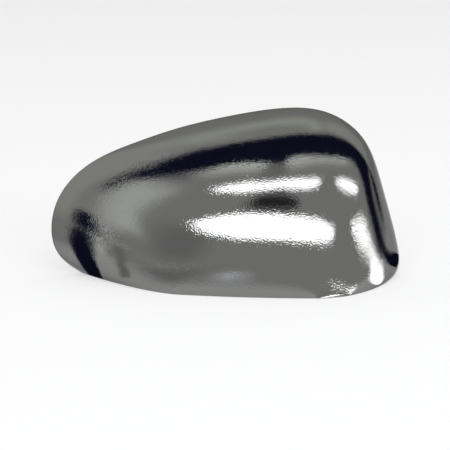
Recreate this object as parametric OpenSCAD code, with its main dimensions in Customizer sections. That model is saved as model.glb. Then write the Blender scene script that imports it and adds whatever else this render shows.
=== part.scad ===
// Wing mirror cover, right-hand side: one moulded cap, open at the back and below.
// X runs along the cover, Y from the face back to the mirror housing, Z up. The lower rim stands on Z = 0.

/* [Cover] */
// Overall width along the cover
cover_w = 237; // [222:1:252]
// Overall height from the lower rim to the top of the rear rim
cover_h = 113.5; // [106:0.5:120]
// Overall depth from the front of the face to the rear rim
cover_d = 70; // [64:1:76]
// Wall thickness of the moulding
wall = 2.5; // [2.2:0.1:2.8]

/* [Face] */
// Radius of the face seen from above
crown_x_r = 410; // [360:10:500]
// Radius of the face seen from the side
crown_z_r = 450; // [400:10:540]
// Right-hand end of the front line on the lower rim
front_right = 59; // [52:1:64]
// Left-hand end of the front line on the lower rim
front_left = -25; // [-34:1:-18]
// Depth over which the wall turns back at the lower right corner
turn_right = 51; // [45:1:55]
// Depth over which the wall turns back along the top
turn_top = 32; // [26:1:36]
// Depth over which the wall turns back at the lower left
turn_left = 40; // [34:1:44]
// Lean of the wall at the lower right corner, degrees
lean_right = 7; // [5:0.5:9]
// Lean of the wall along the top, degrees
lean_top = 5.5; // [4:0.5:8]
// Lean of the wall at the lower left, degrees
lean_left = 20.5; // [17:0.5:23]

/* [Rear edge] */
// Depth of the rebate that takes the edge of the mirror housing
rebate_d = 3; // [2:0.5:4]
// Wall thickness left beside the rebate
rebate_wall = 1.4; // [1.2:0.1:1.6]

/* [Locating pegs] */
// Diameter of each locating peg
peg_dia = 5; // [4:0.5:6]
// Length of each locating peg
peg_l = 12; // [9:0.5:14]
// Diameter of the boss under each peg
boss_dia = 10; // [9:0.5:11]
// Distance of each boss from the rim
boss_in = 34; // [30:1:38]
// Distance of the peg tips in front of the rear rim
peg_back = 6; // [4:0.5:9]

/* [Snap hooks] */
// Width of each snap hook
hook_w = 12; // [10:0.5:14]
// Thickness of each snap hook
hook_t = 2.2; // [1.8:0.1:2.6]
// Reach of each hook's nose
hook_nose = 2.4; // [1.8:0.1:2.8]
// Distance of each snap hook from the rim
hook_in = 16; // [14:0.5:18]
// Distance of the hook tips in front of the rear rim
hook_back = 4; // [3:0.5:6]

/* [Ribs] */
// Height of the stiffening ribs above the inside face
rib_h = 3; // [2:0.5:4]
// Thickness of the stiffening ribs
rib_t = 1.6; // [1.2:0.1:2]
// Width of the return along the lower rim
return_w = 4; // [3:0.5:5]

/* [Hidden] */
// Colour of the plating
plating = [0.62, 0.63, 0.62];
// Columns round the rim and rows from the front line to the rim
cols = 76;
rows = 19;
// The coarser grid of the solids that only trim what stands inside
core_cols = 44;
core_rows = 12;
// Height of the return above the lower rim
return_z = 0.8;
// Length over which the face is twisted by one part in one
crown_twist = 2800;
// Chamfer at the tip of each peg
peg_tip = 0.8;
// Distance of the gussets in front of the hook tips
gusset_back = 9;
// Distance of the ribs in front of the rear rim, and the heights of the two long ones
rib_back = 16;
rib_levels = [30, 82];
// Shares of the way round the rim at which the pegs and the snap hooks stand
peg_shares = [0.24, 0.74];
hook_shares = [0.12, 0.33, 0.5, 0.64, 0.83];
// Roundness of the boss and peg
$fn = 48;
// Rear rim as the control points of one smooth curve, from the lower right over the top to the lower left
rim_points = [
  [115.5, 0], [123, 6], [106.5, 60.5], [97, 94], [68, 114], [34, 113.5], [1, 107.5],
  [-30.5, 100.5], [-62, 89.5], [-93.5, 77], [-118, 51], [-120.5, 14], [-98.5, 0],
];

// Point of a smooth curve at share s of its length
function curve(s) =
  let (n = len(rim_points) - 1)
  let (k = min(floor(s * n), n - 1))
  let (f = s * n - k)
  let (b = rim_points[k], c = rim_points[k + 1])
  let (a = k == 0 ? 2 * b - c : rim_points[k - 1])
  let (d = k == n - 1 ? 2 * c - b : rim_points[k + 2])
  (a * pow(1 - f, 3) + b * (3 * pow(f, 3) - 6 * pow(f, 2) + 4)
    + c * (1 + 3 * f + 3 * pow(f, 2) - 3 * pow(f, 3)) + d * pow(f, 3)) / 6;

// The curve as drawn, and the scales that give it the overall width and height
drawn = [for (i = [0 : cols]) curve(i / cols)];
drawn_x = [for (p = drawn) p[0]];
drawn_z = [for (p = drawn) p[1]];
scale_x = cover_w / (max(drawn_x) - min(drawn_x));
scale_z = cover_h / max(drawn_z);
middle_x = scale_x * (max(drawn_x) + min(drawn_x)) / 2;

function scaled(p) = [p[0] * scale_x, p[1] * scale_z];

// Unit direction of the rim at share u
function along(u) =
  let (d = scaled(curve(min(u + 0.002, 1)) - curve(max(u - 0.002, 0))))
  d / norm(d);

// Rear rim at share u, moved inside in its own plane by some millimetres
function rim(u, inset) =
  let (d = along(u))
  scaled(curve(u)) + inset * [-d[1], d[0]];

// Value that goes from right to top to left along the rim
function around(u, right, top, left) =
  let (w = (1 - cos(180 * u)) / 2)
  right * pow(1 - w, 2) + 2 * top * w * (1 - w) + left * pow(w, 2);

// Point of the front line that the profile at share u starts from
function front(u) = [front_right + (front_left - front_right) * u, 0];

// Share of the way to the rim, and share of the depth, at share t of a profile
function reach(u, t, span) =
  let (flat = around(u, 0.32, 0.9, 0.35))
  let (lean = around(u, lean_right, lean_top, lean_left))
  let (turned = 1 - around(u, turn_right, turn_top, turn_left) * tan(lean) / span)
  let (s = 1 - t)
  2 * pow(s, 3) * t * flat + 6 * pow(s, 2) * pow(t, 2) * flat + 4 * s * pow(t, 3) * turned + pow(t, 4);
function rise(u, t) =
  let (turn = around(u, turn_right, turn_top, turn_left) / cover_d)
  let (s = 1 - t)
  pow(s, 4) + 4 * pow(s, 3) * t + 6 * pow(s, 2) * pow(t, 2) + 4 * s * pow(t, 3) * turn;

// How far the crowned face lies behind its front-most point, the right-hand end of the front line
function crown(p) =
  let (dx = p[0] - front_right)
  pow(dx, 2) / (2 * crown_x_r) + pow(p[1], 2) / (2 * crown_z_r) + dx * p[1] / crown_twist;

// Point of the outer skin at share u round the rim and share t from the front line to the rim
function outer(u, t) =
  let (g = front(u), r = rim(u, 0))
  let (p = g + (r - g) * reach(u, t, norm(r - g)))
  [p[0], -(cover_d - crown(p)) * rise(u, t), p[1]];

// Unit normal of the outer skin, pointing out
function facing(u, t) =
  let (e = 0.002, v = min(max(u, 2 * e), 1 - 2 * e), w = min(max(t, 2 * e), 1 - 2 * e))
  let (n = cross(outer(v, w + e) - outer(v, w - e), outer(v + e, w) - outer(v - e, w)))
  n / norm(n);

// Point below the outer skin by some millimetres; what starts on the lower plane stays on it
function inner(u, t, inset) =
  let (p = outer(u, t), n = facing(u, t))
  let (level = [n[0], n[1], 0])
  let (q = p - inset * (u == 0 || u == 1 || t == 0 ? level / (level * level) : n))
  [q[0], q[1], max(q[2], 0)];

// Share t at which the skin below the outer one reaches the plane that far in front of the rear rim, by halving
function share_at(u, inset, stop, low = 0.2, high = 1, steps = 15) =
  let (mid = (low + high) / 2)
  steps == 0 ? mid
    : inner(u, mid, inset)[1] < -stop ? share_at(u, inset, stop, mid, high, steps - 1)
    : share_at(u, inset, stop, low, mid, steps - 1);

// Profile of a skin at share u, from the front line to that plane
function profile(u, inset, stop, count) =
  let (end = share_at(u, inset, stop))
  [for (j = [0 : count])
    let (p = inner(u, end * j / count, inset))
    j == count ? [p[0], -stop, p[2]] : p];

// Faces between neighbouring columns of points, each column a closed ring
function sheet_faces(columns, count) = [
  for (i = [0 : columns - 1], j = [0 : count - 1])
    let (a = i * count + j, b = i * count + (j + 1) % count)
    for (f = [[a, a + count, b], [b, a + count, b + count]]) f,
];

// The first and last column, filled with the triangles given for one of them
function end_faces(columns, count, triangles) = [
  for (f = triangles) f,
  for (f = triangles) [f[0], f[2], f[1]] + [1, 1, 1] * columns * count,
];

// Moulded shell: outer skin, rebated rear edge and inner skin as one closed surface
module shell() {
  count = 2 * rows + 4;
  points = [
    for (i = [0 : cols])
      let (u = i / cols, edge = profile(u, rebate_wall, 0, 1)[1], step = profile(u, rebate_wall, rebate_d, 1)[1])
      let (inside = profile(u, wall, rebate_d, rows))
      for (p = concat(
        [for (j = [0 : rows]) outer(u, j / rows)],
        [edge, step],
        [for (j = [rows : -1 : 0]) inside[j]]
      )) p,
  ];
  across = [
    for (j = [0 : rows])
      let (a = count - 1 - j, b = count - 2 - j)
      for (f = [[j, j + 1, a], [j + 1, b, a]]) f,
  ];
  polyhedron(points, concat(end_faces(cols, count, across), sheet_faces(cols, count)));
}

// Solid below a skin, down to the lower plane and back to the rear plane, closed from one point in that corner
module core(inset) {
  count = core_rows + 1;
  last = core_cols * count;
  corner = last + count;
  points = concat(
    [for (i = [0 : core_cols]) for (p = profile(i / core_cols, inset, 0, core_rows)) p],
    [[(front_right + front_left) / 2, 0, 0]]
  );
  skin = [
    for (i = [0 : core_cols - 1], j = [0 : core_rows - 1])
      let (a = i * count + j)
      for (f = [[a, a + count, a + 1], [a + 1, a + count, a + count + 1]]) f,
  ];
  closing = concat(
    [for (j = [0 : core_rows - 1]) for (f = [[j, j + 1, corner], [last + j + 1, last + j, corner]]) f],
    [for (i = [0 : core_cols - 1])
      let (a = i * count)
      for (f = [[a + count, a, corner], [a + core_rows, a + count + core_rows, corner]]) f]
  );
  polyhedron(points, concat(closing, skin));
}

// Place of a locating peg on the rear plane
function peg_at(u) =
  let (g = front(u), r = rim(u, 0))
  r + (g - r) * boss_in / norm(g - r);

// Boss with its locating peg, standing on the inside of the face and pointing back
module peg(u) {
  p = peg_at(u);
  translate([p[0], 0, p[1]]) rotate([90, 0, 0]) {
    translate([0, 0, peg_back + peg_l]) cylinder(h = cover_d, d = boss_dia);
    translate([0, 0, peg_back + peg_tip]) cylinder(h = peg_l, d = peg_dia);
    translate([0, 0, peg_back]) cylinder(h = peg_tip, d1 = peg_dia - 2 * peg_tip, d2 = peg_dia);
  }
}

// Snap hook with a ramped nose and two gussets that tie it to the wall
module hook(u) {
  p = rim(u, hook_in);
  d = along(u);
  half = hook_t / 2;
  translate([p[0], 0, p[1]]) rotate([0, -atan2(d[1], d[0]), 0]) {
    translate([-hook_w / 2, 0, 0]) rotate([0, 90, 0]) linear_extrude(hook_w)
      polygon([
        [-half, -cover_d], [half, -cover_d], [half, -hook_back - hook_nose - 2],
        [half + hook_nose, -hook_back - hook_nose - 1], [half, -hook_back], [-half, -hook_back],
      ]);
    for (side = [-1, 1])
      translate([side * (hook_w - rib_t) / 2 - rib_t / 2, -cover_d, -hook_in])
        cube([rib_t, cover_d - hook_back - gusset_back, hook_in]);
  }
}

// Low ribs across and along the inside of the face; the outer two upright ones run through the bosses
module ribs() {
  left = peg_at(peg_shares[1])[0];
  right = peg_at(peg_shares[0])[0];
  difference() {
    union() {
      for (k = [0 : 3])
        translate([left + (right - left) * k / 3 - rib_t / 2, -cover_d, return_z])
          cube([rib_t, cover_d - rib_back, cover_h]);
      for (z = rib_levels)
        translate([-cover_w / 2, -cover_d, z - rib_t / 2]) cube([cover_w, cover_d - rib_back, rib_t]);
    }
    core(wall + rib_h);
  }
}

// Return that stiffens the lower rim
module lower_return() {
  difference() {
    translate([-cover_w / 2, -cover_d, return_z]) cube([cover_w, cover_d - 2 * rebate_d, rib_t]);
    core(wall + return_w);
  }
}

// The cover as it comes out of the mould
module mirror_cover() {
  color(plating) translate([-middle_x, cover_d / 2, 0]) {
    shell();
    intersection() {
      core(wall / 2);
      union() {
        for (u = peg_shares) peg(u);
        for (u = hook_shares) hook(u);
        ribs();
        lower_return();
      }
    }
  }
}

mirror_cover();
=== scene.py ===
import math

import bpy
import numpy as np
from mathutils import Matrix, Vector


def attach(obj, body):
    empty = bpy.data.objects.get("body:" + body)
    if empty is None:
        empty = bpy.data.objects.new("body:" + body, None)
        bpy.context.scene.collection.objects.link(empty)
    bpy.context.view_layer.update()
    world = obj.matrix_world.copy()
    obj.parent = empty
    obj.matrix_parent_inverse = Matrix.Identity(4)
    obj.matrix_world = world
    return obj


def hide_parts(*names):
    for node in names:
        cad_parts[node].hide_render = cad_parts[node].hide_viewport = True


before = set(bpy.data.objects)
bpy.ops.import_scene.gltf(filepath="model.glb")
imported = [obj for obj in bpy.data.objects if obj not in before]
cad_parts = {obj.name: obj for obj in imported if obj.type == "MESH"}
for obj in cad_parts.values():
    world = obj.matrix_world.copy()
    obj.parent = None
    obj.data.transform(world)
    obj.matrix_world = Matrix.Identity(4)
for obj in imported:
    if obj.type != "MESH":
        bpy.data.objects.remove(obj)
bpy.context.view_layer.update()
scene = bpy.context.scene

# Sizes of the moulding in millimetres, the same values as in the part's source
WIDTH, HEIGHT, DEPTH, WALL = 237.0, 113.5, 70.0, 2.5
CROWN_X_R, CROWN_Z_R, CROWN_TWIST = 410.0, 450.0, 2800.0
FRONT_RIGHT, FRONT_LEFT = 59.0, -25.0

# Depth and lean of the turn into the side wall, and how flat the face runs up to it: right, top, left
TURNS = (51.0, 32.0, 40.0)
LEANS = (7.0, 5.5, 20.5)
FLATS = (0.32, 0.9, 0.35)

# Rebate at the rear edge, return along the lower rim, and ribs
REBATE_D, REBATE_WALL = 3.0, 1.4
RETURN_W, RETURN_Z = 4.0, 0.8
RIB_H, RIB_T, RIB_BACK, RIB_LEVELS, UPRIGHT_RIBS = 3.0, 1.6, 16.0, (30.0, 82.0), 4

# Pegs and their bosses; the roots, how far each runs on into what it stands on, are this script's own
PEG_R, PEG_L, PEG_TIP, PEG_BACK, PEG_ROOT = 2.5, 12.0, 0.8, 6.0, 2.0
BOSS_R, BOSS_IN, BOSS_ROOT = 5.0, 34.0, 5.0

# Snap hooks, and where pegs and hooks stand as shares of the way round the rim
HOOK_W, HOOK_T, HOOK_NOSE, HOOK_FLANK = 12.0, 2.2, 2.4, 1.0
HOOK_IN, HOOK_BACK, GUSSET_BACK = 16.0, 4.0, 9.0
PEG_SHARES = (0.24, 0.74)
HOOK_SHARES = (0.12, 0.33, 0.5, 0.64, 0.83)

# Control points of the rear rim, x and z, from the right foot over the top to the left foot
RIM_POINTS = np.array([
    (115.5, 0), (123, 6), (106.5, 60.5), (97, 94), (68, 114), (34, 113.5), (1, 107.5),
    (-30.5, 100.5), (-62, 89.5), (-93.5, 77), (-118, 51), (-120.5, 14), (-98.5, 0),
], dtype=float)

# Small roundings, which the part's source leaves sharp
EDGE_R, BOSS_EDGE, HOOK_EDGE = 0.55, 0.4, 0.3

# Columns round the rim and rows across, of the shell and of the cores that trim the fittings
SHELL_COLUMNS, FACE_ROWS, INSIDE_ROWS, ENDS_EASED = 241, 96, 60, 0.75
CORE_COLUMNS, CORE_ROWS, BAR_SIDES = 89, 29, 48

# Share of the way over which a slope is measured, and how a share is searched for
SLOPE_STEP = 0.002
SEARCH_FROM, HALVINGS = 0.2, 22


# The skins of the cover, as functions of u round the rim and t from the front line to the rim
def curve(s):
    """Points of the rim before it is scaled: a cubic B-spline that starts and ends on its end points."""
    s = np.asarray(s, dtype=float)
    n = len(RIM_POINTS) - 1
    k = np.minimum(np.floor(s * n), n - 1).astype(int)
    f = (s * n - k)[..., None]
    b, c = RIM_POINTS[k], RIM_POINTS[k + 1]
    a = np.where((k == 0)[..., None], 2 * b - c, RIM_POINTS[np.maximum(k - 1, 0)])
    d = np.where((k == n - 1)[..., None], 2 * c - b, RIM_POINTS[np.minimum(k + 2, n)])
    return (a * (1 - f) ** 3 + b * (3 * f ** 3 - 6 * f ** 2 + 4)
            + c * (1 + 3 * f + 3 * f ** 2 - 3 * f ** 3) + d * f ** 3) / 6


drawn = curve(np.linspace(0, 1, 4001))
RIM_SCALE = np.array([WIDTH / np.ptp(drawn[:, 0]), HEIGHT / drawn[:, 1].max()])
MIDDLE_X = RIM_SCALE[0] * (drawn[:, 0].max() + drawn[:, 0].min()) / 2


def along(u):
    """Unit direction along the rim."""
    d = (curve(np.minimum(u + SLOPE_STEP, 1)) - curve(np.maximum(u - SLOPE_STEP, 0))) * RIM_SCALE
    return d / np.linalg.norm(d, axis=-1, keepdims=True)


def rim(u, inset=0.0):
    """Points of the rear rim, or of a line that runs inside it."""
    d = along(u)
    return curve(u) * RIM_SCALE + inset * np.stack([-d[..., 1], d[..., 0]], axis=-1)


def around(u, values):
    """A value that changes from the right corner over the top to the left end."""
    w = (1 - np.cos(np.pi * np.asarray(u))) / 2
    right, top, left = values
    return right * (1 - w) ** 2 + 2 * top * w * (1 - w) + left * w ** 2


def outer(u, t):
    """Points of the outer skin: a flat face that turns back into the side wall, laid over the crown."""
    u, t = np.broadcast_arrays(np.asarray(u, dtype=float), np.asarray(t, dtype=float))
    front = np.stack([FRONT_RIGHT + (FRONT_LEFT - FRONT_RIGHT) * u, np.zeros_like(u)], axis=-1)
    span = rim(u) - front
    length = np.linalg.norm(span, axis=-1)
    flat, turn = around(u, FLATS), around(u, TURNS)
    turned = 1 - turn * np.tan(np.radians(around(u, LEANS))) / length
    s = 1 - t
    reach = 2 * s ** 3 * t * flat + 6 * s ** 2 * t ** 2 * flat + 4 * s * t ** 3 * turned + t ** 4
    rise = s ** 4 + 4 * s ** 3 * t + 6 * s ** 2 * t ** 2 + 4 * s * t ** 3 * turn / DEPTH
    p = front + span * reach[..., None]
    dx, z = p[..., 0] - FRONT_RIGHT, p[..., 1]
    crown = dx ** 2 / (2 * CROWN_X_R) + z ** 2 / (2 * CROWN_Z_R) + dx * z / CROWN_TWIST
    return np.stack([p[..., 0], -(DEPTH - crown) * rise, p[..., 1]], axis=-1)


def facing(u, t):
    """Unit normals of the outer skin."""
    e = SLOPE_STEP
    v, w = np.clip(u, 2 * e, 1 - 2 * e), np.clip(t, 2 * e, 1 - 2 * e)
    n = np.cross(outer(v, w + e) - outer(v, w - e), outer(v + e, w) - outer(v - e, w))
    return n / np.linalg.norm(n, axis=-1, keepdims=True)


def below(u, t, inset):
    """Points under the outer skin; what starts on the lower plane stays on it."""
    u, t = np.broadcast_arrays(np.asarray(u, dtype=float), np.asarray(t, dtype=float))
    p, n = outer(u, t), facing(u, t)
    sideways = n * (1.0, 1.0, 0.0)
    sideways /= (sideways ** 2).sum(axis=-1, keepdims=True)
    on_edge = ((u <= 0) | (u >= 1) | (t <= 0))[..., None]
    q = p - np.asarray(inset, dtype=float)[..., None] * np.where(on_edge, sideways, n)
    q[..., 2] = np.maximum(q[..., 2], 0)
    return q


def share_at(u, inset, stop):
    """The t where the skin at that inset is that far in front of the rear plane, found by halving."""
    low, high = np.full(u.shape, SEARCH_FROM), np.ones(u.shape)
    for _ in range(HALVINGS):
        mid = (low + high) / 2
        before = below(u, mid, inset)[..., 1] < -stop
        low, high = np.where(before, mid, low), np.where(before, high, mid)
    return (low + high) / 2


def in_frame(points):
    """From the drawing of the moulding, in millimetres, to the shared frame, in metres."""
    return (np.asarray(points, dtype=float) + (-MIDDLE_X, DEPTH / 2, 0)) / 1000


def rounding(distance):
    """How far a skin steps in where it nears a plane, so that the edge there is a quarter round."""
    k = np.clip(1 - distance / EDGE_R, 0, 1)
    return EDGE_R * (1 - np.sqrt(1 - k ** 2))


# Modelling steps
def select_only(piece):
    bpy.ops.object.select_all(action="DESELECT")
    piece.select_set(True)
    bpy.context.view_layer.objects.active = piece


def face_outwards():
    """In edit mode, turn all faces of the piece outwards."""
    bpy.ops.mesh.select_all(action="SELECT")
    bpy.ops.mesh.normals_make_consistent(inside=False)


def mark_hidden(piece, values):
    """How much each point of a piece lies on the hidden side, 0 or 1, for its finish."""
    hidden = piece.data.attributes.new("hidden_side", "FLOAT", "POINT")
    hidden.data.foreach_set("value", np.asarray(values, dtype=np.float32).reshape(-1))


def grid_piece(name, points, hidden=1):
    """A grid primitive set on rows of points, each row one closed ring; its two open ends are filled."""
    rows, ring = points.shape[:2]
    bpy.ops.object.select_all(action="DESELECT")
    bpy.ops.mesh.primitive_grid_add(x_subdivisions=ring, y_subdivisions=rows - 1, size=1)
    piece = bpy.context.object
    piece.name = piece.data.name = name
    wrapped = np.concatenate([points, points[:, :1]], axis=1)
    piece.data.vertices.foreach_set("co", wrapped.reshape(-1).astype(np.float32))
    if np.ndim(hidden):
        hidden = np.resize(hidden, ring + 1)
    mark_hidden(piece, np.broadcast_to(hidden, wrapped.shape[:2]))
    bpy.ops.object.mode_set(mode="EDIT")
    bpy.ops.mesh.select_all(action="SELECT")
    bpy.ops.mesh.remove_doubles(threshold=1e-7)
    bpy.ops.mesh.select_all(action="SELECT")
    bpy.ops.mesh.fill_holes(sides=0)
    face_outwards()
    bpy.ops.object.mode_set(mode="OBJECT")
    return piece


def apply_boolean(piece, other, operation):
    select_only(piece)
    cut = piece.modifiers.new("cut", "BOOLEAN")
    cut.operation, cut.solver, cut.object = operation, "MANIFOLD", other
    bpy.ops.object.modifier_apply(modifier=cut.name)
    bpy.data.objects.remove(other)


def apply_bevel(piece, width, segments=2, angle=40):
    """Bevel the edges that turn by more than the angle; the width is in millimetres."""
    select_only(piece)
    soft = piece.modifiers.new("edges", "BEVEL")
    soft.width, soft.segments = width / 1000, segments
    soft.limit_method, soft.angle_limit = "ANGLE", math.radians(angle)
    bpy.ops.object.modifier_apply(modifier=soft.name)


def smooth(piece, angle=35):
    select_only(piece)
    bpy.ops.object.shade_smooth_by_angle(angle=math.radians(angle))


# The moulded shell: rows of the rounding at its lower edge, and of the one at the rear
FRONT_ROWS, EVEN_FROM = (0, 0.0008, 0.0018, 0.003, 0.0045, 0.0065, 0.009), 0.0125
REAR_ROWS = (1.0, 0.7, 0.45, 0.25, 0.1, 0.0)


def eased(count, ends):
    """Shares from 0 to 1, closer together near the ends."""
    s = np.linspace(0, 1, count)
    return (1 - ends) * s + ends * (1 - np.cos(np.pi * s)) / 2


def make_shell():
    """One closed grid: face, rear edge, inner skin. Its rows are close together at the lower rim."""
    u = eased(SHELL_COLUMNS, ENDS_EASED)
    by_u = u[:, None]
    t = np.concatenate([FRONT_ROWS, np.linspace(EVEN_FROM, 1, FACE_ROWS)])[None, :]
    skin = outer(by_u, t)
    skin = below(by_u, t, rounding(skin[..., 2]))
    # Only the rows that keep clear of the rear rounding
    face = skin[:, (-skin[..., 1] > EDGE_R * 1.5).all(axis=0)]
    # The rear edge: a quarter round, a flat, then the rebate and its step
    edge = []
    for k in REAR_ROWS:
        row = below(u, share_at(u, 0.0, EDGE_R * k), rounding(EDGE_R * k))
        row[:, 1] = -EDGE_R * k
        edge.append(row)
    for inset, y in ((REBATE_WALL, 0.0), (REBATE_WALL, REBATE_D)):
        row = below(u, share_at(u, inset, y), inset)
        row[:, 1] = -y
        edge.append(row)
    t = share_at(u, WALL, REBATE_D)[:, None] * np.linspace(1, 0, INSIDE_ROWS)[None, :]
    inside = below(by_u, t, WALL)
    inside[:, 0, 1] = -REBATE_D
    ring = np.concatenate([face, np.stack(edge, axis=1), inside], axis=1)
    # The hidden side begins at the rebate
    hidden = np.arange(ring.shape[1]) >= face.shape[1] + len(REAR_ROWS)
    piece = grid_piece("cover_shell", in_frame(ring), hidden)
    smooth(piece)
    return piece


# What stands on the hidden side
def core(inset):
    """The solid below a skin, down to the lower plane and back to the rear plane."""
    u = np.linspace(0, 1, CORE_COLUMNS)
    t = share_at(u, inset, 0.0)[:, None] * np.linspace(0, 1, CORE_ROWS)[None, :]
    skin = below(u[:, None], t, inset)
    skin[:, -1, 1] = 0
    corner = np.broadcast_to(np.array([(FRONT_RIGHT + FRONT_LEFT) / 2, 0, 0]), (len(u), 1, 3))
    return grid_piece("core", in_frame(np.concatenate([skin, corner], axis=1)))


def block(low, high):
    """A cube primitive that reaches from one corner to the other."""
    bpy.ops.object.select_all(action="DESELECT")
    bpy.ops.mesh.primitive_cube_add(size=1)
    piece = bpy.context.object
    low, high = in_frame(low), in_frame(high)
    piece.scale, piece.location = high - low, (low + high) / 2
    bpy.ops.object.transform_apply(location=True, rotation=True, scale=True)
    return piece


def peg_at(u):
    """Where a peg stands, x and z: inside the rim, on the way to the front line."""
    g = np.array([FRONT_RIGHT + (FRONT_LEFT - FRONT_RIGHT) * u, 0])
    r = rim(np.array(u))
    return r + (g - r) * BOSS_IN / np.linalg.norm(g - r)


def turned_bar(at, y_low, y_high, radius):
    """A round bar along Y."""
    bpy.ops.object.select_all(action="DESELECT")
    low, high = in_frame((at[0], y_low, at[1])), in_frame((at[0], y_high, at[1]))
    bpy.ops.mesh.primitive_cylinder_add(
        vertices=BAR_SIDES, radius=radius / 1000, depth=high[1] - low[1], location=(low + high) / 2,
        rotation=(math.pi / 2, 0, 0))
    bpy.ops.object.transform_apply(location=True, rotation=True, scale=True)
    return bpy.context.object


def make_peg(u):
    """A locating peg on its boss, which runs through the skin until it is cut off."""
    at = peg_at(u)
    boss = turned_bar(at, -DEPTH - BOSS_ROOT, -PEG_BACK - PEG_L, BOSS_R)
    peg = turned_bar(at, -PEG_BACK - PEG_L - PEG_ROOT, -PEG_BACK, PEG_R)
    apply_bevel(peg, PEG_TIP, segments=3, angle=60)
    apply_bevel(boss, BOSS_EDGE, segments=2, angle=60)
    apply_boolean(boss, peg, "UNION")
    return boss


def make_hook(u):
    """A snap hook: the side view of a plate with a ramped nose, extruded along the rim, and its gussets."""
    p, d = rim(np.array(u), HOOK_IN), along(np.array(u))
    half = HOOK_T / 2
    flank = -HOOK_BACK - HOOK_NOSE
    profile = [(-half, -DEPTH), (half, -DEPTH), (half, flank - 2 * HOOK_FLANK),
               (half + HOOK_NOSE, flank - HOOK_FLANK), (half, -HOOK_BACK), (-half, -HOOK_BACK)]

    def place(x, y, z):
        """A point of the hook's own drawing, x along the rim and z towards the inside, on the cover."""
        return (p[0] + x * d[0] - z * d[1], y, p[1] + x * d[1] + z * d[0])

    bpy.ops.object.select_all(action="DESELECT")
    bpy.ops.mesh.primitive_circle_add(vertices=len(profile), fill_type="NGON", radius=0.01)
    plate = bpy.context.object
    for vertex, (z, y) in zip(plate.data.vertices, profile):
        vertex.co = in_frame(place(-HOOK_W / 2, y, z))
    bpy.ops.object.mode_set(mode="EDIT")
    bpy.ops.mesh.select_all(action="SELECT")
    bpy.ops.mesh.extrude_region_move(
        TRANSFORM_OT_translate={"value": (d[0] * HOOK_W / 1000, 0, d[1] * HOOK_W / 1000)})
    face_outwards()
    bpy.ops.object.mode_set(mode="OBJECT")
    apply_bevel(plate, HOOK_EDGE, segments=2)
    for side in (-1, 1):
        bpy.ops.object.select_all(action="DESELECT")
        bpy.ops.mesh.primitive_cube_add(size=1)
        gusset = bpy.context.object
        x = side * (HOOK_W - RIB_T) / 2
        for vertex in gusset.data.vertices:
            a, b, c = (v + 0.5 for v in vertex.co)
            y = -DEPTH + b * (DEPTH - HOOK_BACK - GUSSET_BACK)
            vertex.co = in_frame(place(x + (a - 0.5) * RIB_T, y, -HOOK_IN + c * HOOK_IN))
        bpy.ops.object.mode_set(mode="EDIT")
        face_outwards()
        bpy.ops.object.mode_set(mode="OBJECT")
        apply_boolean(plate, gusset, "UNION")
    return plate


def make_ribs(left, right):
    """Upright and level plates across the hollow; the core is then cut out of them and leaves low ribs."""
    half = RIB_T / 2
    uprights = []
    for k in range(UPRIGHT_RIBS):
        x = left + (right - left) * k / (UPRIGHT_RIBS - 1)
        uprights.append(block((x - half, -DEPTH, RETURN_Z), (x + half, -RIB_BACK, RETURN_Z + HEIGHT)))
    grid = uprights[0]
    for rib in uprights[1:]:
        apply_boolean(grid, rib, "UNION")
    for z in RIB_LEVELS:
        level_rib = block((-WIDTH / 2, -DEPTH, z - half), (WIDTH / 2, -RIB_BACK, z + half))
        apply_boolean(grid, level_rib, "UNION")
    return grid


def make_fittings():
    """Ribs, the return along the lower rim, pegs and hooks, joined and cut off inside the wall."""
    pegs = [make_peg(u) for u in PEG_SHARES]
    hooks = [make_hook(u) for u in HOOK_SHARES]
    right, left = [peg_at(u)[0] for u in PEG_SHARES]
    grid = make_ribs(left, right)
    apply_boolean(grid, core(WALL + RIB_H), "DIFFERENCE")
    lower = block((-WIDTH / 2, -DEPTH, RETURN_Z), (WIDTH / 2, -2 * REBATE_D, RETURN_Z + RIB_T))
    apply_boolean(lower, core(WALL + RETURN_W), "DIFFERENCE")
    apply_boolean(grid, lower, "UNION")
    for piece in pegs + hooks:
        apply_boolean(grid, piece, "UNION")
    apply_boolean(grid, core(WALL / 2), "INTERSECT")
    grid.name = grid.data.name = "cover_fittings"
    # The booleans leave the attribute for only some of the points
    for old in [a for a in grid.data.attributes if a.name == "hidden_side"]:
        grid.data.attributes.remove(old)
    mark_hidden(grid, np.ones(len(grid.data.vertices)))
    smooth(grid, 30)
    return grid


# Finishes
class Link:
    """An output socket that takes part in sums and products: each operator adds its Math node."""

    def __init__(self, finish, socket):
        self.finish, self.socket = finish, socket

    def _math(self, operation, *values):
        return self.finish.add("ShaderNodeMath", {"operation": operation}, dict(enumerate(values)))

    def __add__(self, other):
        return self._math("ADD", self, other)

    __radd__ = __add__

    def __mul__(self, other):
        return self._math("MULTIPLY", self, other)

    __rmul__ = __mul__


class Finish:
    """A finish under construction, of the name given, or of the world."""

    def __init__(self, target):
        in_room = not isinstance(target, str)
        self.material = target if in_room else bpy.data.materials.new(target)
        self.material.use_nodes = True
        self.tree = self.material.node_tree
        self.tree.nodes.clear()
        kind = "ShaderNodeOutputWorld" if in_room else "ShaderNodeOutputMaterial"
        self.output = self.tree.nodes.new(kind)

    def add(self, kind, settings=None, inputs=None, result=0):
        """Add a node of that type; the result is the output that the link stands for."""
        node = self.tree.nodes.new(kind)
        for key, value in (settings or {}).items():
            setattr(node, key, value)
        for key, value in (inputs or {}).items():
            if isinstance(value, Link):
                self.tree.links.new(value.socket, node.inputs[key])
            else:
                node.inputs[key].default_value = value
        return Link(self, node.outputs[result])

    def surface(self, shader):
        self.tree.links.new(shader.socket, self.output.inputs["Surface"])
        return self.material


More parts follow.
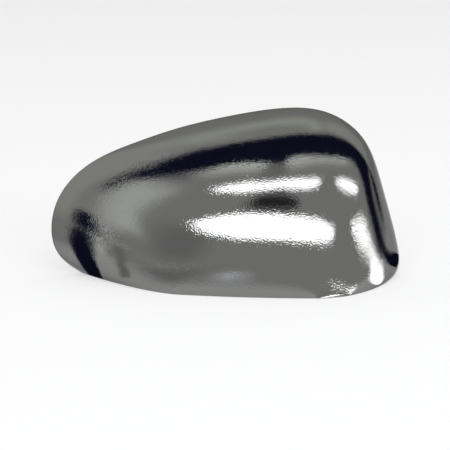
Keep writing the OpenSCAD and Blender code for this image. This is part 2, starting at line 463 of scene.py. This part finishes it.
# Share of light that the chrome throws back where it is met square on, and its colours
CHROME = 0.23
FACE_COLOUR = (CHROME, CHROME * 1.012, CHROME * 0.985, 1)
HIDDEN_COLOUR = (0.15, 0.152, 0.148, 1)

# Roughness of the face, what varies in it, and what the hidden side has more of it
FACE_ROUGH, CLOUD_ROUGH, HIDDEN_ROUGH = 0.042, 0.02, 0.26

# Noise scales per metre, share of the swell in the relief, and height of the relief in metres
CLOUD_SCALE, GRAIN_SCALE, SWELL_SCALE = 45.0, 1150.0, 60.0
SWELL_SHARE, RELIEF = 0.35, 0.000037


def satin_chrome():
    """Plated chrome with a fine grain over a faint swell, duller and darker on the hidden side."""
    f = Finish("satin_chrome")
    place = f.add("ShaderNodeTexCoord", result="Object")
    hidden = f.add("ShaderNodeAttribute", {"attribute_name": "hidden_side"}, result="Fac")
    cloud = f.add("ShaderNodeTexNoise", {}, {"Vector": place, "Scale": CLOUD_SCALE, "Detail": 3.0})
    grain = f.add("ShaderNodeTexNoise", {}, {"Vector": place, "Scale": GRAIN_SCALE, "Detail": 0.0})
    swell = f.add("ShaderNodeTexNoise", {}, {"Vector": place, "Scale": SWELL_SCALE, "Detail": 1.0})
    colour = f.add("ShaderNodeMix", {"data_type": "RGBA"}, {
        0: hidden, 6: FACE_COLOUR, 7: HIDDEN_COLOUR}, result=2)
    rough = cloud * CLOUD_ROUGH + FACE_ROUGH + hidden * HIDDEN_ROUGH
    height = grain + swell * SWELL_SHARE
    bump = f.add("ShaderNodeBump", {}, {"Strength": 1.0, "Distance": RELIEF, "Height": height})
    return f.surface(f.add("ShaderNodeBsdfPrincipled", {}, {
        "Base Color": colour, "Metallic": 1.0, "Roughness": rough, "Normal": bump,
        "Specular Tint": (0.5, 0.5, 0.5, 1)}))


shell = make_shell()
fittings = make_fittings()
chrome = satin_chrome()
for piece in (shell, fittings):
    piece.data.materials.clear()
    piece.data.materials.append(chrome)
    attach(piece, "root")
    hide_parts("mirror_cover")


# Floor, light and what the chrome reflects, in metres and degrees
MIDDLE = Vector((0, -0.02, 0.055))


def heading(azimuth, elevation):
    """Unit direction; azimuth 0 is towards the camera's side, 90 to the right."""
    a, e = math.radians(azimuth), math.radians(elevation)
    return Vector((math.sin(a) * math.cos(e), -math.cos(a) * math.cos(e), math.sin(e)))


def level(azimuths, elevation):
    """An edge that stays at one elevation."""
    return [(azimuth, elevation) for azimuth in azimuths]


def sheet_glow(name, shade):
    """The glow of a sheet that shows in the chrome at that shade, and is clear where cover is 0."""
    f = Finish(name)
    glow = f.add("ShaderNodeEmission", {}, {"Color": (*shade, 1), "Strength": 1 / CHROME})
    cover = f.add("ShaderNodeAttribute", {"attribute_name": "cover"}, result="Fac")
    return f.surface(f.add("ShaderNodeMixShader", {}, {
        0: cover, 1: f.add("ShaderNodeBsdfTransparent"), 2: glow}))


def card(name, near_edge, far_edge, shade, distance=None, height=None, soft=0.0, lights=False):
    """A studio card between two edges, each a list of (azimuth, elevation) at that distance from the
    middle, or of (x, y) at that height over the floor. The nearer card covers the farther one.

    It shows only in reflections, and with lights it lights the room too. Soft is the share of its
    width over which each side fades out; its first and last points then fade out as well."""
    if height is None:
        near, far = [np.array([heading(*q) for q in edge]) for edge in (near_edge, far_edge)]
    else:
        near, far = [np.array([(x, y, height) for x, y in edge]) for edge in (near_edge, far_edge)]
    shares = np.union1d(np.linspace(0, 1, 9), (soft, 1 - soft))
    count = len(near)
    bpy.ops.object.select_all(action="DESELECT")
    bpy.ops.mesh.primitive_grid_add(x_subdivisions=count - 1, y_subdivisions=len(shares) - 1, size=1)
    piece = bpy.context.object
    piece.name = piece.data.name = name
    rows = near + (far - near) * shares[:, None, None]
    covers = np.ones(rows.shape[:2])
    if height is None:
        rows = np.array(MIDDLE) + distance * rows / np.linalg.norm(rows, axis=-1, keepdims=True)
    if soft:
        covers *= np.clip(np.minimum(shares, 1 - shares) / soft, 0, 1)[:, None]
        covers[:, (0, -1)] = 0
    piece.data.vertices.foreach_set("co", rows.reshape(-1).astype(np.float32))
    cover = piece.data.attributes.new("cover", "FLOAT", "POINT")
    cover.data.foreach_set("value", covers.reshape(-1).astype(np.float32))
    piece.data.materials.append(sheet_glow(name, shade))
    piece.visible_camera = piece.visible_shadow = piece.visible_transmission = False
    piece.visible_diffuse = lights


# Light of the room on what isn't bright metal, and how much of the floor shows as plain white
ROOM_LIGHT, FLOOR_WHITE = 0.66, 0.5
FLOOR_SIZE, FLOOR_PAINT = 12, (0.94, 0.94, 0.94, 1)
WHITE = (1, 1, 1, 1)


def shown(f):
    """1 for the rays of the camera, and for those that reflections and glass send on."""
    rays = ("Is Camera Ray", "Is Glossy Ray", "Is Transmission Ray")
    return sum(f.add("ShaderNodeLightPath", result=ray) for ray in rays)


def make_floor():
    bpy.ops.object.select_all(action="DESELECT")
    bpy.ops.mesh.primitive_plane_add(size=FLOOR_SIZE, location=(0, 0, 0))
    floor = bpy.context.object
    floor.name = floor.data.name = "floor"
    f = Finish("floor_paint")
    paint = f.add("ShaderNodeBsdfDiffuse", {}, {"Color": FLOOR_PAINT})
    white = f.add("ShaderNodeEmission", {}, {"Color": WHITE, "Strength": 1.0})
    mixed = f.add("ShaderNodeMixShader", {}, {0: shown(f) * FLOOR_WHITE, 1: paint, 2: white})
    floor.data.materials.append(f.surface(mixed))


def make_world():
    world = bpy.data.worlds.new("studio")
    scene.world = world
    world.use_nodes = True
    f = Finish(world)
    strength = shown(f) * (1 - ROOM_LIGHT) + ROOM_LIGHT
    f.surface(f.add("ShaderNodeBackground", {}, {"Color": WHITE, "Strength": strength}))


# Shades as they show in the chrome, where 1 is white
FRONT, BACK, SIDE = (0.142, 0.142, 0.14), (0.148, 0.149, 0.144), (0.19, 0.192, 0.183)
CEILING, LIGHT, STREAK = (0.38, 0.385, 0.372), (0.285, 0.293, 0.287), (0.225, 0.23, 0.212)
DIM, FRINGE, GLINT = (0.1, 0.1, 0.1), (0.07, 0.07, 0.075), (0.32, 0.32, 0.36)
BLACK, NAVY, HALF = (0.012, 0.012, 0.014), (0.0035, 0.0035, 0.011), (0.5, 0.5, 0.5)
STRIP, BRIGHT = (1.25, 1.26, 1.28), (1.7, 1.71, 1.73)

# Azimuths of the corners of the front wall, of the room behind and of the two side walls
ROUND_FRONT, ROUND_BACK = range(-64, 125, 12), range(96, 297, 12)
ROUND_LEFT, ROUND_RIGHT = (-140, -128, -110, -92, -84, -78), (108, 118, 126, 134, 144)


def make_walls():
    """The room's walls and ceiling, glowing cards only the chrome shows, with painted light and shade."""
    card("front_wall", level(ROUND_FRONT, -1), level(ROUND_FRONT, 66), FRONT, distance=5.6)
    card("front_shade", [(-56, -1), (-44, -1), (-32, -1), (-22, -1)],
         [(-56, 30), (-44, 30), (-32, 28), (-22, 20)], DIM, distance=5.5, soft=0.3)
    card("room_behind", level(ROUND_BACK, -1), level(ROUND_BACK, 89.9), BACK, distance=5.8)
    card("left_wall", level(ROUND_LEFT, -1), level(ROUND_LEFT, 66), SIDE, distance=5.6, soft=0.15)
    card("right_wall", level(ROUND_RIGHT, 4), level(ROUND_RIGHT, 66), SIDE, distance=5.6, soft=0.2)
    card("back_light",
         [(104, 62), (120, 60), (140, 56), (160, 56), (180, 58), (200, 57), (220, 54), (236, 54),
          (254, 54)],
         [(108, 74), (120, 78), (140, 80), (160, 82), (180, 82), (200, 78), (220, 75), (236, 76),
          (254, 78)], STREAK, distance=5.5, soft=0.5)
    card("pale_side_left", [(-54, 9), (-55, 15), (-56, 25), (-54, 35), (-52, 43), (-50, 50)],
         [(-71, 9), (-71, 15), (-72, 25), (-72.5, 35), (-73, 42), (-74, 48)],
         LIGHT, distance=5.3, soft=0.35)
    card("left_streak", [(-68.8, 10), (-69, 7), (-70, 3), (-71, -1)],
         [(-73, 10), (-73, 7), (-73.6, 3), (-74, -1)], LIGHT, distance=5.25, soft=0.3)
    card("left_line", [(-63, 10), (-63, 5), (-64, 2), (-65, -1)],
         [(-69, 10), (-69.2, 5), (-69.6, 2), (-70.5, -1)], DIM, distance=5.2, soft=0.4)
    card("flag_fringe", [(-78, 47), (-72, 47), (-66, 48.5), (-60, 50.5), (-56, 52.5)],
         [(-78, 55), (-72, 55), (-66, 55.5), (-60, 56), (-56, 56)], FRINGE, distance=5.1, soft=0.35)
    # Painted light: the lit part of the ceiling, a paler glow that only the chrome shows
    card("pale_ceiling",
         [(-60, 51), (-50, 55), (-40, 58), (-25, 60), (-10, 63), (5, 63), (20, 59), (35, 57.5), (50, 55),
          (62, 50), (72, 45), (80, 40), (88, 34.5), (96, 27)],
         [(-60, 67), (-50, 76), (-40, 79), (-25, 77), (-10, 72), (5, 77), (20, 82), (35, 80), (50, 74),
          (62, 69), (72, 62), (80, 57), (88, 50.5), (96, 45)], CEILING, distance=5.2, soft=0.5)
    card("ceiling_shade", [(-20, 58), (-14, 57), (-6, 57), (3, 57), (9, 58)],
         [(-20, 69), (-14, 74), (-6, 74), (3, 74), (9, 68)], DIM, distance=5.1, soft=0.35)


def make_flags():
    """The black flags: a long one overhead and down the right side, with a gap, and three small ones."""
    card("ceiling_flag",
         [(-88, 57), (-82, 54), (-76, 51.2), (-68, 53), (-63, 57.2), (-57, 61.8), (-52, 65.5), (-45, 68),
          (-35, 68.6), (-20, 69), (-7, 68.2), (5, 69), (15, 70.6), (25, 70.3), (35, 68.8), (42, 67),
          (50, 64), (57, 61.2), (64, 58.2), (71, 53.5), (77, 49.8), (84, 45.2), (91, 39.8), (97, 34.6),
          (100.5, 29), (103, 23), (105, 16.5), (107, 11), (108.5, 5), (110.5, -1)],
         [(-95.9, 64.9), (-100, 69.8), (-102.2, 73.8), (-104, 77.8), (-106.3, 81.7), (-114, 85.6),
          (-130.4, 87.4), (-146.3, 88.4), (-172.7, 88.4), (180, 88.2), (178.3, 88.2), (174.9, 88.3),
          (170.4, 88.3), (166.3, 88.2), (159.5, 88.1), (151.1, 88), (131, 87.4), (113.3, 85.7),
          (107.1, 83.7), (103.5, 80.7), (100.2, 75.8), (101.6, 69.8), (104.2, 63.7), (107.4, 57.1),
          (110.3, 48.6), (113.7, 40.7), (116.3, 33), (119.8, 22), (126.5, 9), (135, -1)],
         NAVY, distance=5.0)
    card("flag_gap", [(119.3, -1), (120, 2), (121, 5), (122.5, 9)],
         [(127.5, -1), (127, 2), (126.5, 5), (125.5, 9)], DIM, distance=4.9)
    card("left_flag",
         [(-68, 55), (-71, 52), (-72.3, 49), (-72.3, 45), (-72.3, 41), (-73, 36), (-74.3, 30)],
         [(-85, 58), (-83, 55.5), (-80.5, 51.5), (-78, 46.5), (-76.4, 41), (-75.6, 36), (-74.9, 30)],
         NAVY, distance=4.8)
    card("left_blade", [(-74, 12), (-72.4, 9.5), (-71.8, 7), (-71.9, 4), (-72.4, 1), (-73, -1)],
         [(-77, 11.5), (-78.8, 10), (-79.6, 7), (-80, 4), (-80.4, 1), (-80.8, -1)], NAVY, distance=4.8)
    card("small_flag", [(-20, 37), (-12, 33.8), (-4, 32.3), (5, 32.3), (14, 34), (22, 36.5)],
         [(-20, 42.5), (-12, 47.5), (-4, 49.5), (5, 48.3), (13, 44), (21, 40)],
         BLACK, distance=4.6, soft=0.32)


def make_strips():
    """Light strips that light the room too; below them at the right a small one and painted highlights."""
    card("upper_strip",
         [(-39, 48.8), (-34, 48.2), (-25, 48.2), (-15, 48.8), (-5, 50), (5, 49.8), (12, 48.3), (20, 47.3),
          (28, 46), (35, 44.8), (41, 44), (48, 44.8)],
         [(-39, 50.3), (-34, 52.6), (-25, 55.3), (-15, 55.1), (-5, 55.2), (5, 56), (12, 55.3), (20, 54.6),
          (28, 52.8), (35, 51.1), (41, 49.6), (48, 46.2)], STRIP, distance=4.3, lights=True)
    card("lower_strip",
         [(-38, 26.5), (-34, 22.8), (-28, 18.8), (-21, 16.5), (-15, 14.1), (-8, 13.4), (0, 13.6),
          (8, 13.8), (15, 14.4), (23, 14.2), (30, 14.1), (40, 12.4), (48, 11.8), (54, 11.6), (58, 13.3)],
         [(-38, 27.6), (-34, 28.4), (-28, 31), (-21, 32.5), (-15, 32.6), (-8, 32.1), (0, 32), (8, 30.4),
          (15, 29.6), (23, 29), (30, 27.4), (38, 25.2), (46, 21.6), (53, 17.3), (58, 14)],
         STRIP, distance=4.3, lights=True)
    card("right_strip",
         [(66, 36.6), (69, 33.1), (73, 29.2), (78, 24.9), (84, 20.4), (90, 16.7), (95.5, 14.3)],
         [(67.3, 39), (71, 36.8), (77, 33.4), (83, 28.8), (88, 24.7), (92.5, 19.8), (96.5, 15.5)],
         STRIP, distance=4.2, lights=True)
    card("low_right_strip", [(80.8, 8), (84, 7), (88, 6), (92, 5.2), (96, 4.5), (101, 3.7)],
         [(81.2, 9.1), (86, 8.3), (91, 7.4), (96, 6.2), (100, 5.1), (102.5, 4.1)],
         BRIGHT, distance=4.2, lights=True)
    # Painted highlights from here on: cards that light nothing and that only the chrome shows
    card("right_bridge", [(84, 5.2), (88, 4.2), (91, 3), (93.5, 1.8), (96, 1.5)],
         [(86, 6.6), (92, 5.6), (96, 4.9), (101, 4), (104.5, 2.2)], HALF, distance=4.3, soft=0.25)
    card("right_foot", [(96, 3), (94.6, 2), (93.4, 0.5), (92.8, -1), (92.8, -1.2)],
         [(101, 3), (104, 2.2), (107, 0.6), (108.3, -1), (108.3, -1.2)], STRIP, distance=4.25, soft=0.12)
    # Painted highlight on the lower right corner: a bright card just off it, seen only in the chrome
    card("corner_light",
         [(46, -14.5), (52, -14.5), (57, -14.5), (63, -14), (72, -13.6), (78, -13.4), (83, -13.3)],
         [(46, -11), (52, -10), (57, -9.3), (63, -9.2), (72, -10.8), (78, -11.8), (83, -12.6)],
         STRIP, distance=0.226, soft=0.2)


def make_floor_sheets():
    """Sheets on the floor for what the lowest parts of the cover reflect: painted reflections the camera
    doesn't see.
    """
    card("floor_front", [(-0.3, -0.08), (-0.104, -0.08), (0.104, -0.08), (0.3, -0.08)],
         [(-4, -4.4), (-2, -5), (2, -5), (4, -4.4)], FRONT, height=0.0008, soft=0.08)
    card("floor_near", [(-0.09, -0.035), (-0.06, -0.04), (0.0, -0.05), (0.06, -0.045), (0.1, -0.03)],
         [(-0.3, -0.35), (-0.15, -0.42), (0.0, -0.42), (0.15, -0.42), (0.3, -0.35)],
         FRONT, height=0.0009, soft=0.1)
    card("floor_shade", [(-0.04, -0.02), (-0.05, -0.08), (-0.065, -0.16), (-0.08, -0.3), (-0.1, -0.5)],
         [(-0.13, 0.0), (-0.17, -0.08), (-0.25, -0.2), (-0.4, -0.4), (-0.6, -0.7)],
         DIM, height=0.0012, soft=0.25)
    card("floor_glint", [(-0.06, -0.17), (-0.03, -0.18), (0.0, -0.18)],
         [(-0.035, -0.06), (-0.012, -0.055), (0.015, -0.06)], GLINT, height=0.0014, soft=0.5)
    card("floor_left", [(-0.22, 0.6), (-0.145, 0.1), (-0.125, -0.05), (-0.095, -0.33), (-0.2, -0.8)],
         [(-4, 3), (-4, 1), (-4, -0.3), (-4, -1.2), (-4, -4)], FRONT, height=0.0002, soft=0.015)
    card("floor_dark_left",
         [(-0.079, 0.0135), (-0.081, 0.0125), (-0.094, 0.0085), (-0.109, 0.0055), (-0.132, 0.001),
          (-0.165, -0.0075), (-0.24, -0.029), (-0.375, -0.07), (-0.6, -0.132), (-1.2, -0.3), (-4, -1.15)],
         [(-0.0865, 0.0275), (-0.089, 0.027), (-0.1, 0.0265), (-0.113, 0.025), (-0.135, 0.0235),
          (-0.165, 0.0215), (-0.22, 0.016), (-0.35, -0.007), (-0.55, -0.042), (-1, -0.14), (-4, -0.62)],
         NAVY, height=0.0006, soft=0.12)
    card("floor_line",
         [(-0.073, -0.012), (-0.08, -0.016), (-0.106, -0.027), (-0.139, -0.038), (-0.22, -0.077),
          (-0.42, -0.165), (-1.2, -0.6), (-4, -2.1)],
         [(-0.072, 0.0), (-0.079, -0.002), (-0.097, -0.008), (-0.123, -0.015), (-0.167, -0.033),
          (-0.246, -0.06), (-1.2, -0.4), (-4, -1.5)], DIM, height=0.0004, soft=0.3)
    card("floor_streak",
         [(-0.12, -0.012), (-0.2, -0.033), (-0.28, -0.06), (-0.53, -0.15), (-1.2, -0.41), (-4, -1.5)],
         [(-0.11, 0.003), (-0.196, -0.014), (-0.283, -0.038), (-0.527, -0.105), (-1.2, -0.29),
          (-4, -1.1)], LIGHT, height=0.0003, soft=0.3)
    card("floor_dark_right",
         [(0.125, 0.036), (0.18, 0.057), (0.34, 0.135), (0.9, 0.38), (1.9, 0.86), (4, 1.8)],
         [(0.135, 0.085), (0.175, 0.115), (0.3, 0.18), (0.81, 0.48), (1.9, 1.18), (4, 2.6)],
         NAVY, height=0.002)
    card("floor_bright_right",
         [(0.1033, -0.0072), (0.1045, -0.0092), (0.1077, -0.0101), (0.1124, -0.0108), (0.1204, -0.0114),
          (0.134, -0.012), (0.15, -0.0125), (0.23, -0.012), (0.6, -0.01), (2, 0.07), (2.2, 0.08)],
         [(0.1033, -0.006), (0.1045, -0.0037), (0.1077, -0.0004), (0.1124, 0.0029), (0.1204, 0.0074),
          (0.134, 0.014), (0.148, 0.0195), (0.23, 0.057), (0.4, 0.13), (2, 0.78), (2.2, 0.86)],
         STRIP, height=0.0005, soft=0.18)


make_floor()
make_world()
make_walls()
make_flags()
make_strips()
make_floor_sheets()

# The camera: where it aims, how far off and how high it stands, and how wide it sees at that distance
AIM = Vector((-0.0004, 0, 0.0406))
VIEW_DISTANCE, VIEW_ELEVATION, VIEW_WIDTH, SENSOR = 1.0, 12, 0.2948, 36.0
camera_data = bpy.data.cameras.new("camera")
camera = bpy.data.objects.new("camera", camera_data)
scene.collection.objects.link(camera)
camera_data.sensor_width, camera_data.lens = SENSOR, SENSOR * VIEW_DISTANCE / VIEW_WIDTH
camera_data.clip_start, camera_data.clip_end = 0.02, 60
camera.location = AIM + heading(0, VIEW_ELEVATION) * VIEW_DISTANCE
camera.rotation_euler = heading(0, VIEW_ELEVATION).to_track_quat("Z", "Y").to_euler()
scene.camera = camera
scene.view_settings.view_transform = "Standard"
